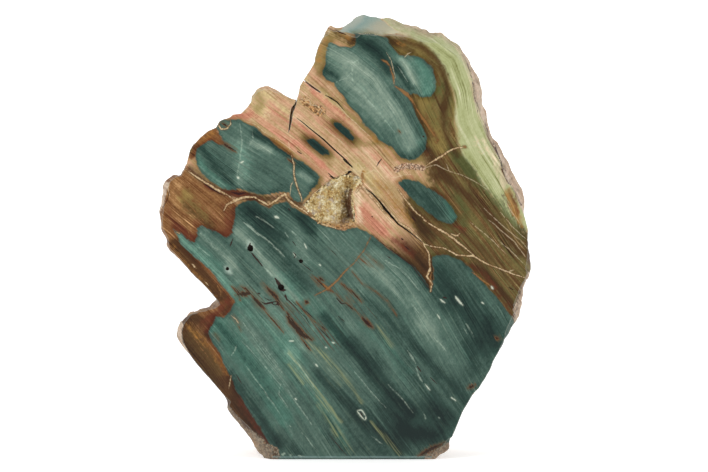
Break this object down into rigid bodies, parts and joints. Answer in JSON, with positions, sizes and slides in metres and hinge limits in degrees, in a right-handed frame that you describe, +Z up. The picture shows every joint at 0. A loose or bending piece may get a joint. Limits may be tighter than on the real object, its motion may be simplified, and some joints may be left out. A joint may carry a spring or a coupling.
{
  "type": "petrified bog wood",
  "caption": "Free-standing slab of petrified bog wood with one polished face, broken sides and back, a druse-lined pocket and a flat sawn base.",
  "frame": {"origin": "centre of the footprint's bounding box, on the plane that the sawn base stands on", "axes": "+Z up; the polished face looks along -Y and leans back by 4 degrees; +X to the viewer's right as one faces the polish"},
  "size_m": [0.149, 0.0498, 0.1775],
  "materials": {
    "polished_jasperised_wood": "polished jasperised wood on the front face, broken stone with a weathered rind elsewhere",
    "druse": "fine ochre quartz crystals"
  },
  "bodies": {
    "root": {"petrified_wood": "polished_jasperised_wood", "pocket_druse": "druse"}
  },
  "joints": []
}
